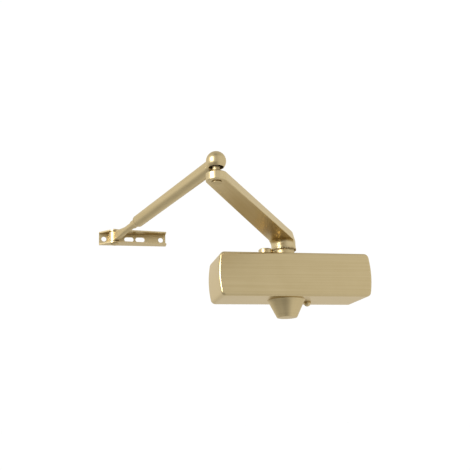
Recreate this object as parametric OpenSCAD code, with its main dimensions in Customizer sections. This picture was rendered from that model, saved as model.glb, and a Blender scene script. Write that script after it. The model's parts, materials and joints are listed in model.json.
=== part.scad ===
// Surface-mounted door closer with a cover, a rack-and-pinion closing unit and a two-piece arm.
// Millimetres. +X runs along the door to the right, +Y goes into the door, +Z is up.
// The origin is the centre of the closer's four screw holes, on the face of the door.

/* [Cover] */
// Length of the cover along the door
cover_w = 222; // [218:1:228]
// Height of the cover
cover_h = 62; // [61:0.5:64]
// How far the cover stands out from the door
cover_d = 73; // [71:0.5:76]
// Thickness of the cover's walls
cover_wall = 2; // [1.5:0.1:2.2]
// How far each end of the cover bows out at mid height
end_bow = 3.5; // [2:0.5:5]
// Radius of the cover's front edges
edge_r = 3; // [2.5:0.5:4]
// Radius of the openings for the pinion in the top and the bottom
shaft_opening_r = 17.5; // [17:0.5:19]

/* [Pinion cap and cover fasteners] */
// Radius of the cap where it meets the cover
cap_r = 27; // [25:0.5:29]
// Radius of the cap's lower end
cap_end_r = 14.5; // [13:0.5:17]
// Height of the cap
cap_h = 25; // [24:0.5:28]
// Place of the round cap nut on top of the cover, along the door and out from it
cap_nut_at = [-34.5, -40]; // [-45:0.5:45]
// Radius of the cap nut
cap_nut_r = 10; // [8:0.5:10.5]
// Height of the cap nut
cap_nut_h = 11.7; // [8:0.1:12]
// Place of the round-headed screw under the cover, along the door and out from it
cover_screw_at = [31, -20]; // [-45:0.5:45]
// Radius of the round-headed screw's head
cover_screw_r = 5.4; // [4:0.1:6]

/* [Closing unit] */
// Sideways place of the pinion's axis
pinion_x = -6; // [-8:0.5:0]
// Distance of the pinion's axis from the door
pinion_out = 36.5; // [36:0.5:37]
// Radius of the cylinder bore
bore_r = 19; // [19:0.5:20]
// Outer radius of the cylinder barrel
barrel_r = 24; // [23:0.5:25]
// Left end of the barrel
barrel_left = -72; // [-74:1:-72]
// Right end of the barrel
barrel_right = 86; // [86:1:88]
// Hole-to-hole distance of the mounting screws along the door
mount_x = 194; // [190:1:196]
// Hole-to-hole distance of the mounting screws up the door
mount_z = 26; // [24:1:28]
// Radius of the mounting screw holes
mount_r = 3.3; // [2.7:0.1:3.6]

/* [Pinion and rack] */
// Teeth on the pinion
teeth = 10; // [10:1:10]
// Gear module
gear_module = 2; // [2:0.1:2]
// Pressure angle
pressure = 25; // [22:1:26]
// Slack between the teeth
backlash = 0.3; // [0.2:0.05:0.5]
// Radius of the pinion shaft
shaft_r = 9; // [8.6:0.1:9.2]

/* [Main arm] */
// Distance from the pinion to the elbow
arm_len = 287; // [270:1:300]
// Direction of the main arm at rest
arm_turn = 238.5; // [225:0.5:250]
// Height of the arm's underside above the cover's middle
arm_z = 55; // [53:0.5:57]
// Thickness of the arm at the hub
arm_hub_t = 15; // [13:0.5:16]
// Thickness of the arm at the elbow
arm_elbow_t = 10; // [8:0.5:11]
// Radius of the arm's end at the hub
arm_hub_r = 17.2; // [16:0.1:18]
// Radius of the arm's end at the elbow
arm_elbow_r = 11.75; // [11:0.05:12.5]

/* [Forearm] */
// Level distance from the elbow to the foot's pin
forearm_len = 284; // [275:1:290]
// Direction of the forearm at rest
forearm_turn = 109; // [105:0.5:112]
// Height of the ball's centre
ball_z = 78.5; // [78:0.5:80]
// Radius of the ball-shaped elbow housing
ball_r = 11; // [10.5:0.1:12]
// Height of the forearm's axis at the elbow
forearm_z = 76.3; // [75.5:0.1:77]
// Height of the forearm's axis at the foot's pin
foot_z = 61; // [60:0.5:62]
// Outer radius of the forearm tube
tube_r = 8; // [7.5:0.1:8.5]
// Where the tube ends, measured from the elbow
tube_end = 204; // [195:1:210]
// Radius of the adjusting rod
rod_r = 4.4; // [4.2:0.1:5]

/* [Foot] */
// Length of the foot bracket
foot_w = 96; // [92:1:102]
// Height of the foot bracket
foot_h = 19; // [19:0.5:20]
// Sheet thickness of the foot bracket
foot_t = 2; // [1.5:0.1:2]
// Middle of the foot bracket
foot_mid = [-222, 63]; // [-230:0.5:70]
// Distance between the two round screw holes
foot_holes = 82; // [80:1:84]
// Radius of the round screw holes
foot_hole_r = 3.6; // [3:0.1:4]
// Distance between the two slots
foot_slots = 16; // [16:0.5:18]
// Length of each slot
slot_len = 13.4; // [12:0.1:14]
// Half width of each slot
slot_r = 3.5; // [3:0.1:3.5]

/* [Hidden] */

$fn = 64;
big = 400;              // longer than anything that is cut
eps = 0.01;
run = 0.05;             // radial slack of a running fit
steel = [0.55, 0.56, 0.58];
gold = [0.73, 0.66, 0.47];
iron = [0.32, 0.33, 0.34];
bronze = [0.62, 0.47, 0.27];
black = [0.08, 0.08, 0.08];

end_r = (cover_h * cover_h / 4 + end_bow * end_bow) / (2 * end_bow);
pinion_y = -pinion_out;
pitch_r = teeth * gear_module / 2;
tooth_pitch = PI * gear_module;
gear_tip_r = pitch_r + 1.6;
gear_root_r = pitch_r - 2.2;
gear_half = 9.5;        // half the pinion's toothed length
boss_half = 27.5;       // half height of the casting's bearing boss
bush_r = 13;
bush_z = [15.5, 21.5];
seal_wire = 1.45;
nut_z = [24.5, 32.4];
nut_r = 14.5;
collar_r = 15.2;
collar_z = [33, 44.5];
hub_r = 17.6;
shaft_flat = 12;        // across the flats of the shaft's square ends
washer_z = arm_z + 10;  // floor of the recess that takes the arm's washer and screw

plug_len = 11;
plug_flange = 4;
plug_flange_r = 21;
piston_r = bore_r - 0.03;
piston_x = [-56, 19];
slot_x = [-47.5, 11];
rack_y = pinion_y + pitch_r;
rack_tip = 1.5;
rack_root = 2.0;
seat_x = 66;
seat_t = 5;
screw_r = 4;
spring_wire = 2.1;      // radius of the spring's wire
spring_r = 13.5;
spring_coils = 4.25;
spring_steps = 20;      // rings in each turn of the spring's mesh
spring_sides = 8;
valve_r = 3;
valve_y = -9.5;
valve_len = 15;
valve_step = 10;        // distance between neighbouring valves

elbow = [pinion_x + arm_len * cos(arm_turn), pinion_y + arm_len * sin(arm_turn)];
foot_pin_at = [elbow[0] + forearm_len * cos(forearm_turn), elbow[1] + forearm_len * sin(forearm_turn)];
forearm_drop = atan((forearm_z - foot_z) / forearm_len);
axis_len = forearm_len / cos(forearm_drop);
mouth_r = 8.1;
mouth_z = ball_z - sqrt(ball_r * ball_r - mouth_r * mouth_r);
stud_ball_r = 5.6;
stud_neck_r = 4.2;
socket_top = 5.9;      // height of the socket's pocket above the ball's centre
tube_start = 12;
tube_bore = 6.5;
ferrule_out = 15;       // length of the ferrule that shows beyond the tube
ferrule_in = 18;
ferrule_r = 6.8;
ferrule_nose_r = 5.6;
ferrule_taper = 6;      // length over which the ferrule narrows to its nose
eye_r = 8.2;
eye_h = foot_h - 2 * foot_t - 0.7;
pin_r = 4;
bush_wall = 1.2;
ear_r = 9.3;
foot_right_d = 14;
foot_left_d = 5;
slot_mid = foot_mid[0] + 3;

// ---------- shared shapes ----------

// A cylinder whose axis runs along +X from x0 to x1
module rod_x(r, x0, x1) {
    translate([x0, 0, 0]) rotate([0, 90, 0]) cylinder(r = r, h = x1 - x0);
}

// Moves its children to the axis of the piston bore
module on_bore() {
    translate([0, pinion_y, 0]) children();
}

// Moves its children to the axis of the pinion
module on_pinion() {
    translate([pinion_x, pinion_y, 0]) children();
}

// A plain ring between two heights
module ring(outer, inner, z0, z1) {
    translate([0, 0, z0]) difference() {
        cylinder(r = outer, h = z1 - z0);
        translate([0, 0, -eps]) cylinder(r = inner, h = z1 - z0 + 2 * eps);
    }
}

// A round wire bent into a closed ring, with its axis on Z
module wire_ring(r, wire, z) {
    translate([0, 0, z]) rotate_extrude() translate([r, 0]) circle(r = wire, $fn = 32);
}

// Moves its children so that their X axis is the forearm's axis, starting at the elbow
module on_forearm() {
    translate([elbow[0], elbow[1], forearm_z]) rotate([0, forearm_drop, forearm_turn]) children();
}

// ---------- cover ----------

// Round slab whose front edge is rounded, used to shape one end of the cover
module end_disc(r, d, round) {
    rotate([90, 0, 0]) rotate_extrude($fn = 180) {
        square([r - round, d]);
        square([r, d - round]);
        translate([r - round, d - round]) circle(r = round);
    }
}

// The cover's outline from its end: flat at the door, rounded at the front
module end_profile(h, d, round) {
    translate([-d + round, -h / 2]) square([d - round, h]);
    translate([-d, -h / 2 + round]) square([d, h - 2 * round]);
    for (side = [-1, 1]) translate([-d + round, side * (h / 2 - round)]) circle(r = round);
}

// Solid with the cover's shape, moved inwards by inset on every side but the back
module cover_solid(inset) {
    d = cover_d - inset;
    round = edge_r - inset;
    intersection() {
        translate([cover_w / 2 - end_r, 0, 0]) end_disc(end_r - inset, d, round);
        translate([end_r - cover_w / 2, 0, 0]) end_disc(end_r - inset, d, round);
        translate([-cover_w / 2, 0, 0]) rotate([90, 0, 90]) linear_extrude(cover_w)
            end_profile(cover_h - 2 * inset, d, round);
    }
}

module cover() {
    color(gold) difference() {
        cover_solid(0);
        translate([0, eps, 0]) cover_solid(cover_wall);
        on_pinion() translate([0, 0, -big / 2]) cylinder(r = shaft_opening_r, h = big);
        translate([cap_nut_at[0], cap_nut_at[1], 0]) cylinder(r = 3.4, h = big);
        translate([cover_screw_at[0], cover_screw_at[1], -big]) cylinder(r = 2.9, h = big);
    }
}

// Hollow cone that hides the shaft's free lower end
module pinion_cap() {
    wall = 2;
    flare = 1.6;
    color(gold) on_pinion() translate([0, 0, -cover_h / 2]) rotate_extrude() polygon([
        [cap_r - wall - 0.8, 0],
        [cap_r, 0],
        [cap_r - 0.5, -0.8],
        [cap_r - flare - 0.6, -3],
        [cap_end_r + 0.8, -cap_h + 0.9],
        [cap_end_r - 0.4, -cap_h],
        [0, -cap_h],
        [0, -cap_h + wall],
        [cap_end_r - wall, -cap_h + wall],
        [cap_r - flare - 0.6 - wall, -3]]);
}

// Round nut that holds the cover's top, with a slot for a screwdriver
module cap_nut() {
    chamfer = 1.2;
    slot_w = 2;
    slot_d = 2.2;
    color(gold) translate([cap_nut_at[0], cap_nut_at[1], cover_h / 2]) difference() {
        rotate_extrude() polygon([
            [0, 0],
            [cap_nut_r, 0],
            [cap_nut_r, cap_nut_h - chamfer],
            [cap_nut_r - chamfer, cap_nut_h],
            [0, cap_nut_h]]);
        translate([0, 0, -eps]) cylinder(r = 3, h = 8);
        translate([-cap_nut_r, -slot_w / 2, cap_nut_h - slot_d]) cube([2 * cap_nut_r, slot_w, 2 * slot_d]);
    }
}

module cap_nut_stud() {
    color(steel) translate([cap_nut_at[0], cap_nut_at[1], 26]) cylinder(r = 3, h = cover_h / 2 + 7.5 - 26);
}

// Round-headed screw under the cover
module cover_screw() {
    head_h = 6;
    color(gold) translate([cover_screw_at[0], cover_screw_at[1], -cover_h / 2]) difference() {
        union() {
            translate([0, 0, -2]) cylinder(r = cover_screw_r, h = 2);
            translate([0, 0, -2]) intersection() {
                sphere(r = cover_screw_r);
                translate([0, 0, -head_h + 2]) cylinder(r = cover_screw_r, h = head_h);
            }
            cylinder(r = 2.5, h = 11);
        }
        translate([-big / 2, -0.6, -head_h - 1]) cube([big, 1.2, 2.4]);
    }
}

// ---------- closing unit ----------

module valve_places() {
    for (i = [-1, 0, 1]) translate([0, valve_y, i * valve_step]) children();
}

// Cast body: barrel, bearing boss, base with screw lugs, and the fluid passages
module body_casting() {
    lug_half = 104;
    web = 15.5;
    color(iron) difference() {
        union() {
            on_bore() rod_x(barrel_r, barrel_left, barrel_right);
            translate([barrel_left, pinion_y, -web]) cube([barrel_right - barrel_left, pinion_out, 2 * web]);
            translate([-lug_half, -7, -19]) cube([2 * lug_half, 7, 38]);
            on_pinion() translate([0, 0, -boss_half]) cylinder(r = 20, h = 2 * boss_half);
            translate([cap_nut_at[0], cap_nut_at[1], 20]) cylinder(r = 6, h = 8.5);
            translate([cover_screw_at[0], cover_screw_at[1], -28.5]) cylinder(r = 6, h = 16);
        }
        on_bore() rod_x(bore_r, barrel_left - 1, barrel_right + 1);
        on_pinion() translate([0, 0, -big / 2]) cylinder(r = bush_r, h = big);
        translate([cap_nut_at[0], cap_nut_at[1], 26]) cylinder(r = 3, h = 10);
        translate([cover_screw_at[0], cover_screw_at[1], -30]) cylinder(r = 2.5, h = 10.2);
        for (x = [-1, 1], z = [-1, 1]) translate([x * mount_x / 2, 1, z * mount_z / 2])
            rotate([90, 0, 0]) cylinder(r = mount_r, h = 9);
        valve_places() {
            rod_x(valve_r + run, barrel_left - 1, barrel_left + valve_len + 1);
            rod_x(1.4, barrel_left, 62);
            for (x = [-44, 58]) translate([x, 0, 0]) rotate([90, 0, 0]) cylinder(r = 1.2, h = 16);
        }
    }
}

// End plug of the cylinder, drawn with its inner face at x = 0 and its flange towards +X
module end_plug(hole_r) {
    difference() {
        union() {
            rod_x(bore_r, 0, plug_len);
            rod_x(plug_flange_r, plug_len, plug_len + plug_flange);
        }
        rotate([0, 90, 0]) translate([0, 0, 4]) ring(bore_r + 1, bore_r - 2 * seal_wire - 0.05, 0, 3.2);
        rod_x(hole_r, -1, plug_len + plug_flange + 1);
    }
}

module left_end_plug() {
    color(steel) on_bore() translate([barrel_left + plug_len, 0, 0]) difference() {
        mirror([1, 0, 0]) end_plug(1);
        for (z = [-12, 12]) translate([-plug_len - plug_flange - 1, 0, z]) rotate([0, 90, 0])
            cylinder(r = 2.5, h = 4);
    }
}

module right_end_plug() {
    color(steel) on_bore() translate([barrel_right - plug_len, 0, 0]) difference() {
        end_plug(screw_r + run);
        for (z = [-12, 12]) translate([plug_len + plug_flange - 3, 0, z]) rotate([0, 90, 0])
            cylinder(r = 2.5, h = 4);
    }
}

module end_plug_seals() {
    groove = 5.6;
    color(black) on_bore() for (x = [barrel_left + plug_len - groove, barrel_right - plug_len + groove])
        translate([x, 0, 0]) rotate([0, 90, 0]) wire_ring(bore_r - seal_wire, seal_wire, 0);
}

module bearing_bush() {
    color(bronze) ring(bush_r, shaft_r + run, bush_z[0], bush_z[1]);
}

module upper_bush() {
    on_pinion() bearing_bush();
}

module lower_bush() {
    on_pinion() mirror([0, 0, 1]) bearing_bush();
}

// Threaded ring that closes the bearing boss, with castellations for a spanner
module bearing_nut() {
    notches = 6;
    color(steel) difference() {
        union() {
            ring(bush_r, shaft_r + 0.4, nut_z[0], boss_half + 0.5);
            ring(nut_r, shaft_r + 0.4, boss_half + 0.2, nut_z[1]);
        }
        for (i = [0:notches - 1]) rotate(i * 360 / notches)
            translate([nut_r - 2.4, -1.6, nut_z[1] - 2]) cube([5, 3.2, 5]);
    }
}

module upper_bearing_nut() {
    on_pinion() bearing_nut();
}

module lower_bearing_nut() {
    on_pinion() mirror([0, 0, 1]) bearing_nut();
}

module shaft_seals() {
    z = (bush_z[1] + nut_z[0]) / 2;
    color(black) on_pinion() for (side = [-1, 1]) wire_ring(shaft_r + run + seal_wire, seal_wire, side * z);
}

// ---------- piston, spring and valves ----------

// One straight-sided tooth of the rack, pointing at the pinion
module rack_tooth() {
    half = (tooth_pitch / 2 - backlash / 2) / 2;
    lean = tan(pressure);
    polygon([
        [-half - lean * rack_root, rack_root + 1],
        [-half - lean * rack_root, rack_root],
        [-half + lean * rack_tip, -rack_tip],
        [half - lean * rack_tip, -rack_tip],
        [half + lean * rack_root, rack_root],
        [half + lean * rack_root, rack_root + 1]]);
}

module piston() {
    front_y = pinion_y - gear_tip_r - 1;
    color(steel) difference() {
        union() {
            difference() {
                on_bore() rod_x(piston_r, piston_x[0], piston_x[1]);
                translate([slot_x[0], front_y, -bore_r])
                    cube([slot_x[1] - slot_x[0], rack_y + rack_root - front_y, 2 * bore_r]);
            }
            for (i = [-6:1]) translate([pinion_x + (i + 0.5) * tooth_pitch, rack_y, -gear_half + 0.5])
                linear_extrude(2 * gear_half - 1) rack_tooth();
        }
        on_bore() {
            rod_x(spring_r + spring_wire + 0.5, piston_x[1] - 4, piston_x[1] + 1);
            rotate([0, 90, 0]) ring(bore_r + 1, bore_r - 1.8, piston_x[0] + 2, piston_x[0] + 4.2);
            rod_x(1.2, piston_x[0] - 1, slot_x[0] + 1);
            rod_x(2.6, piston_x[0] - 1, piston_x[0] + 5.5);
        }
    }
}

module piston_ring() {
    color(black) on_bore() rotate([0, 90, 0])
        ring(bore_r - 0.02, bore_r - 1.8, piston_x[0] + 2.05, piston_x[0] + 4.15);
}

module check_ball() {
    color(steel) on_bore() translate([piston_x[0] + 3.4, 0, 0]) sphere(r = 1.9, $fn = 32);
}

module check_ball_retainer() {
    color(steel) on_bore() rotate([0, 90, 0]) ring(2.6, 1.1, piston_x[0] + 0.1, piston_x[0] + 1.2);
}

// Point on the spring's helix, for a turn count t
function helix(t, x0, x1) =
    [x0 + (x1 - x0) * t / spring_coils, spring_r * cos(360 * t), spring_r * sin(360 * t)];

// Ring of points around the wire at turn t
function wire_points(t, x0, x1) =
    [for (k = [0:spring_sides - 1])
        let (a = 360 * k / spring_sides, c = helix(t, x0, x1))
        c + spring_wire * [sin(a), cos(a) * cos(360 * t), cos(a) * sin(360 * t)]];

module closing_spring() {
    x0 = piston_x[1] - 4 + spring_wire + 0.1;
    x1 = seat_x - spring_wire - 0.1;
    rings = spring_coils * spring_steps;
    points = [for (i = [0:rings]) each wire_points(i / spring_steps, x0, x1)];
    sides = spring_sides;
    skin = [for (i = [0:rings - 1], k = [0:sides - 1])
        let (a = i * sides + k, b = i * sides + (k + 1) % sides)
        each [[a, b, a + sides], [b, b + sides, a + sides]]];
    first_end = [for (k = [sides - 1:-1:0]) k];
    last_end = [for (k = [0:sides - 1]) rings * sides + k];
    color(steel) on_bore() polyhedron(points = points, faces = concat(skin, [first_end, last_end]));
}

module spring_seat() {
    color(steel) on_bore() difference() {
        rod_x(bore_r - 0.08, seat_x, seat_x + seat_t);
        rod_x(screw_r + run, seat_x - 1, seat_x + seat_t + 1);
    }
}

// Screw that sets the spring's preload, with a hexagon socket in its head
module power_screw() {
    head_x = barrel_right + plug_flange + 0.3;
    color(steel) on_bore() difference() {
        union() {
            rod_x(screw_r, 54, head_x + 1);
            rod_x(7, head_x, head_x + 6);
        }
        translate([head_x + 2.5, 0, 0]) rotate([0, 90, 0]) cylinder(r = 3.5, h = 5, $fn = 6);
    }
}

// Needle valve with a slotted head, lying in the left end of the casting
module valve_screw(place) {
    color(bronze) translate([barrel_left, valve_y, place * valve_step]) difference() {
        union() {
            rod_x(valve_r, 0, valve_len - 2);
            translate([valve_len - 2, 0, 0]) rotate([0, 90, 0]) cylinder(r1 = valve_r, r2 = 1, h = 2);
        }
        translate([-1, -big / 2, -0.5]) cube([2, big, 1]);
    }
}

module sweep_valve() {
    valve_screw(-1);
}

module latch_valve() {
    valve_screw(0);
}

module backcheck_valve() {
    valve_screw(1);
}

// ---------- pinion and main arm ----------

// Angle between the start of an involute and the point on it at radius r, in degrees
function involute(r, base_r) = r <= base_r ? 0
    : let (a = acos(base_r / r)) tan(a) * 180 / PI - a;

// One side of a pinion tooth from root to tip, as pairs of radius and angle
function flank() =
    let (base_r = pitch_r * cos(pressure),
        half = (tooth_pitch / 2 - backlash / 2) / 2 / pitch_r * 180 / PI + involute(pitch_r, base_r),
        steps = 6)
    concat([[gear_root_r, half]],
        [for (i = [0:steps]) let (r = base_r + (gear_tip_r - base_r) * i / steps)
            [r, half - involute(r, base_r)]]);

module pinion_tooth() {
    side = flank();
    last = len(side) - 1;
    right = [for (p = side) p[0] * [cos(p[1]), -sin(p[1])]];
    left = [for (i = [last:-1:0]) side[i][0] * [cos(side[i][1]), sin(side[i][1])]];
    polygon(concat([[0, 0]], right, left));
}

// Shaft with gear teeth in the middle and a square at each end, so that it fits either hand
module pinion() {
    color(steel) on_pinion() difference() {
        union() {
            translate([0, 0, -gear_half]) linear_extrude(2 * gear_half) union() {
                circle(r = gear_root_r);
                for (i = [0:teeth - 1]) rotate(90 + i * 360 / teeth) pinion_tooth();
            }
            translate([0, 0, gear_half - eps]) cylinder(r = shaft_r, h = collar_z[1] - gear_half);
            translate([0, 0, -collar_z[0]]) cylinder(r = shaft_r, h = collar_z[0] - gear_half + eps);
            translate([-shaft_flat / 2, -shaft_flat / 2, 40]) cube([shaft_flat, shaft_flat, washer_z - 40.5]);
            translate([-shaft_flat / 2, -shaft_flat / 2, -52]) cube([shaft_flat, shaft_flat, 30]);
        }
        translate([0, 0, 46]) cylinder(r = 3.3, h = big);
        translate([0, 0, -big - 34]) cylinder(r = 3.3, h = big);
    }
}

// Serrated ring between the bearing nut and the arm's hub
module index_collar() {
    grooves = 36;
    color(gold) on_pinion() difference() {
        ring(collar_r, shaft_r, collar_z[0], collar_z[1] - 0.05);
        for (i = [0:grooves - 1]) rotate(i * 360 / grooves)
            translate([collar_r, 0, collar_z[1] - 3.5]) rotate(45) translate([-0.9, -0.9, 0]) cube([1.8, 1.8, 5]);
    }
}

// Forged arm: flat underneath, thinner and narrower towards the elbow, with a hub that hangs below
module main_arm() {
    color(gold) on_pinion() rotate(arm_turn) difference() {
        union() {
            hull() {
                translate([0, 0, arm_z]) cylinder(r1 = arm_hub_r, r2 = arm_hub_r - 3.4, h = arm_hub_t, $fn = 48);
                translate([arm_len, 0, arm_z]) cylinder(r = arm_elbow_r, h = arm_elbow_t, $fn = 48);
            }
            translate([0, 0, collar_z[1]]) cylinder(r = hub_r, h = arm_z - collar_z[1] + 1);
        }
        rotate(-arm_turn) translate([-shaft_flat / 2 - run, -shaft_flat / 2 - run, 40])
            cube([shaft_flat + 2 * run, shaft_flat + 2 * run, 40]);
        translate([0, 0, washer_z]) cylinder(r = 9.8, h = 20);
        translate([arm_len, 0, arm_z - 1]) cylinder(r = 4.4, h = 20);
        translate([arm_len, 0, arm_z + arm_elbow_t]) cylinder(r = 5.6, h = 5);
    }
}

module arm_washer() {
    color(steel) on_pinion() ring(9.4, 3.5, washer_z, washer_z + 1.2);
}

module arm_screw() {
    head_z = washer_z + 1.2;
    color(steel) on_pinion() difference() {
        union() {
            translate([0, 0, 48]) cylinder(r = 3.25, h = head_z - 48 + 0.5);
            translate([0, 0, head_z]) cylinder(r = 7.5, h = 3.4);
        }
        translate([0, 0, head_z + 1.2]) cylinder(r = 3.5, h = 5, $fn = 6);
    }
}

// Ball-headed stud riveted into the end of the arm
module elbow_stud() {
    color(gold) translate([elbow[0], elbow[1], 0]) union() {
        translate([0, 0, arm_z]) cylinder(r = 4.35, h = arm_elbow_t + 1);
        translate([0, 0, arm_z + arm_elbow_t]) cylinder(r = 5.5, h = 1.2);
        translate([0, 0, arm_z + arm_elbow_t]) cylinder(r = stud_neck_r, h = ball_z - arm_z - arm_elbow_t);
        translate([0, 0, ball_z]) sphere(r = stud_ball_r);
    }
}

// ---------- forearm ----------

// Hollow ball at the elbow, with the shank that the tube is fixed to
module ball_housing() {
    color(gold) difference() {
        union() {
            translate([elbow[0], elbow[1], ball_z]) sphere(r = ball_r);
            on_forearm() rod_x(tube_bore - 0.02, 8.6, 38);
            on_forearm() rod_x(tube_r - 0.2, 7, tube_start - 0.05);
        }
        translate([elbow[0], elbow[1], ball_z - 20]) cylinder(r = mouth_r, h = 20 + socket_top);
    }
}

// Plastic socket that the stud's ball snaps into
module elbow_socket() {
    floor_z = mouth_z + 2.6;
    color(black) translate([elbow[0], elbow[1], 0]) difference() {
        translate([0, 0, floor_z]) cylinder(r = mouth_r - 0.02, h = ball_z + socket_top - 0.1 - floor_z);
        translate([0, 0, ball_z]) sphere(r = stud_ball_r + run);
        translate([0, 0, ball_z - 20]) cylinder(r = stud_neck_r + 0.6, h = 20);
        translate([0, 0, ball_z]) cylinder(r = 3, h = 20);
    }
}

module socket_ring() {
    color(steel) translate([elbow[0], elbow[1], 0])
        ring(mouth_r - 0.02, mouth_r - 1.4, mouth_z + 1.5, mouth_z + 2.55);
}

module forearm_tube() {
    color(gold) on_forearm() difference() {
        rod_x(tube_r, tube_start, tube_end);
        rod_x(tube_bore, tube_start - 1, tube_end + 1);
    }
}

// Plug in the tube's end that guides the adjusting rod
module tube_ferrule() {
    out_x = tube_end + ferrule_out;
    color(gold) on_forearm() difference() {
        union() {
            rod_x(tube_bore - 0.02, tube_end - ferrule_in, tube_end + 1);
            translate([tube_end + eps, 0, 0]) rotate([0, 90, 0])
                cylinder(r1 = ferrule_r, r2 = ferrule_nose_r, h = ferrule_taper);
            rod_x(ferrule_nose_r, tube_end + ferrule_taper, out_x);
        }
        rod_x(rod_r + run, tube_end - ferrule_in - 1, out_x + 1);
        translate([out_x - 4.5, 0, 0]) rotate([115, 0, 0]) cylinder(r = 1.7, h = 20);
    }
}

module set_screw() {
    color(iron) on_forearm() translate([tube_end + ferrule_out - 4.5, 0, 0]) rotate([115, 0, 0])
        translate([0, 0, rod_r + 0.1]) cylinder(r = 1.65, h = 0.9);
}

// Rod that slides in the tube, with an eye for the foot's pin
module adjusting_rod() {
    eye_x = axis_len;
    mid_z = foot_mid[1];
    color(gold) difference() {
        union() {
            on_forearm() rod_x(rod_r, 150, eye_x - 40);
            on_forearm() hull() {
                rod_x(rod_r + 0.2, eye_x - 44, eye_x - 43);
                translate([eye_x - 10, -4, -5.5]) cube([5, 8, 13.9]);
            }
            translate([foot_pin_at[0], foot_pin_at[1], mid_z - eye_h / 2]) cylinder(r = eye_r, h = eye_h);
        }
        translate([foot_pin_at[0], foot_pin_at[1], mid_z - 20]) cylinder(r = pin_r + run + bush_wall, h = 40);
    }
}

module eye_bush() {
    color(bronze) translate([foot_pin_at[0], foot_pin_at[1], foot_mid[1]])
        ring(pin_r + run + bush_wall, pin_r + run, -eye_h / 2, eye_h / 2);
}

// ---------- foot ----------

// Point where a line from p touches the circle at c, on the side given by sign
function tangent_point(p, c, r, sign) =
    let (d = p - c, a = atan2(d[1], d[0]) + sign * acos(r / norm(d)))
    c + r * [cos(a), sin(a)];

// Flange of the foot bracket: deepest at the pin, shallow at both ends
module flange_outline() {
    left = foot_mid[0] - foot_w / 2;
    right = foot_mid[0] + foot_w / 2;
    polygon([
        [left, 0],
        [left, -foot_left_d],
        tangent_point([left, -foot_left_d], foot_pin_at, ear_r, 1),
        tangent_point([right, -foot_right_d], foot_pin_at, ear_r, -1),
        [right, -foot_right_d],
        [right, 0]]);
    translate(foot_pin_at) circle(r = ear_r);
}

module foot_bracket() {
    low = foot_mid[1] - foot_h / 2;
    color(gold) difference() {
        union() {
            translate([foot_mid[0] - foot_w / 2, -foot_t, low]) cube([foot_w, foot_t, foot_h]);
            for (z = [low, low + foot_h - foot_t]) translate([0, 0, z]) linear_extrude(foot_t) flange_outline();
        }
        translate([foot_pin_at[0], foot_pin_at[1], low - 1]) cylinder(r = pin_r, h = foot_h + 2);
        for (side = [-1, 1]) translate([foot_mid[0] + side * foot_holes / 2, 1, foot_mid[1]])
            rotate([90, 0, 0]) cylinder(r = foot_hole_r, h = 4);
        for (side = [-1, 1]) translate([slot_mid + side * foot_slots / 2, 1, foot_mid[1]]) {
            for (end = [-1, 1]) translate([end * (slot_len / 2 - slot_r), 0, 0])
                rotate([90, 0, 0]) cylinder(r = slot_r, h = 4);
            translate([slot_r - slot_len / 2, -4, -slot_r]) cube([slot_len - 2 * slot_r, 5, 2 * slot_r]);
        }
    }
}

// Rivet through both flanges and the rod's eye
module foot_pin() {
    low = foot_mid[1] - foot_h / 2;
    head_h = 2;
    color(gold) translate([foot_pin_at[0], foot_pin_at[1], low]) union() {
        cylinder(r = pin_r - 0.01, h = foot_h);
        translate([0, 0, foot_h]) cylinder(r1 = 6.2, r2 = 4.2, h = head_h);
        translate([0, 0, -head_h]) cylinder(r1 = 4.2, r2 = 6.2, h = head_h);
    }
}

cover();
pinion_cap();
cap_nut();
cap_nut_stud();
cover_screw();
body_casting();
left_end_plug();
right_end_plug();
end_plug_seals();
upper_bush();
lower_bush();
upper_bearing_nut();
lower_bearing_nut();
shaft_seals();
piston();
piston_ring();
check_ball();
check_ball_retainer();
closing_spring();
spring_seat();
power_screw();
sweep_valve();
latch_valve();
backcheck_valve();
pinion();
index_collar();
main_arm();
arm_washer();
arm_screw();
elbow_stud();
ball_housing();
elbow_socket();
socket_ring();
forearm_tube();
tube_ferrule();
set_screw();
adjusting_rod();
eye_bush();
foot_bracket();
foot_pin();
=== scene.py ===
"""Looks of the surface door closer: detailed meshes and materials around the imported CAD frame."""
import json
import math
from functools import partial

import bmesh
import bpy
from mathutils import Matrix, Vector


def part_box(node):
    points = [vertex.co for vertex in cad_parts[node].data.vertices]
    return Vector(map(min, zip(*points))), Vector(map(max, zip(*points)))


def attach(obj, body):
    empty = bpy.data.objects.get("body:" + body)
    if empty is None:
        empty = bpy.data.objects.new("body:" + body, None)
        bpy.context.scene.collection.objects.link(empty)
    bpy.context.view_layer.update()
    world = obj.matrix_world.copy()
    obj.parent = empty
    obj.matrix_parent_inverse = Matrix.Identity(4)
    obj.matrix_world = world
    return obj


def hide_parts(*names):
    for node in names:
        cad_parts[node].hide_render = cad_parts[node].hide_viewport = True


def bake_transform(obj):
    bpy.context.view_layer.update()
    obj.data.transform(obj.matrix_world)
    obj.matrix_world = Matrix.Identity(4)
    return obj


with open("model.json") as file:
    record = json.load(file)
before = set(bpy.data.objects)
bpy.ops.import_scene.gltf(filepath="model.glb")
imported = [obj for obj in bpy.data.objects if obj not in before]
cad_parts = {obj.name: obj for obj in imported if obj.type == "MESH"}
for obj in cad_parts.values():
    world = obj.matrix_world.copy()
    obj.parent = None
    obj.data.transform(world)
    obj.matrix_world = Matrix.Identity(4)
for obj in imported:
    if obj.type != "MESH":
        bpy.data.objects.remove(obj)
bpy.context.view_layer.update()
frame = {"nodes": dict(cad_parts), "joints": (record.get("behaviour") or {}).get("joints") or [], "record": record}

MM = 0.001  # shapes below are drawn in millimetres
ROUND = 96  # points round a turned piece
SAME_POINT = 0.002 * MM  # points nearer to each other than this are one
BELOW_ARM = 40  # cutters for the arm and the foot start at this height
ABOVE_ALL = 90  # and end at this one, above every piece

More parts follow.
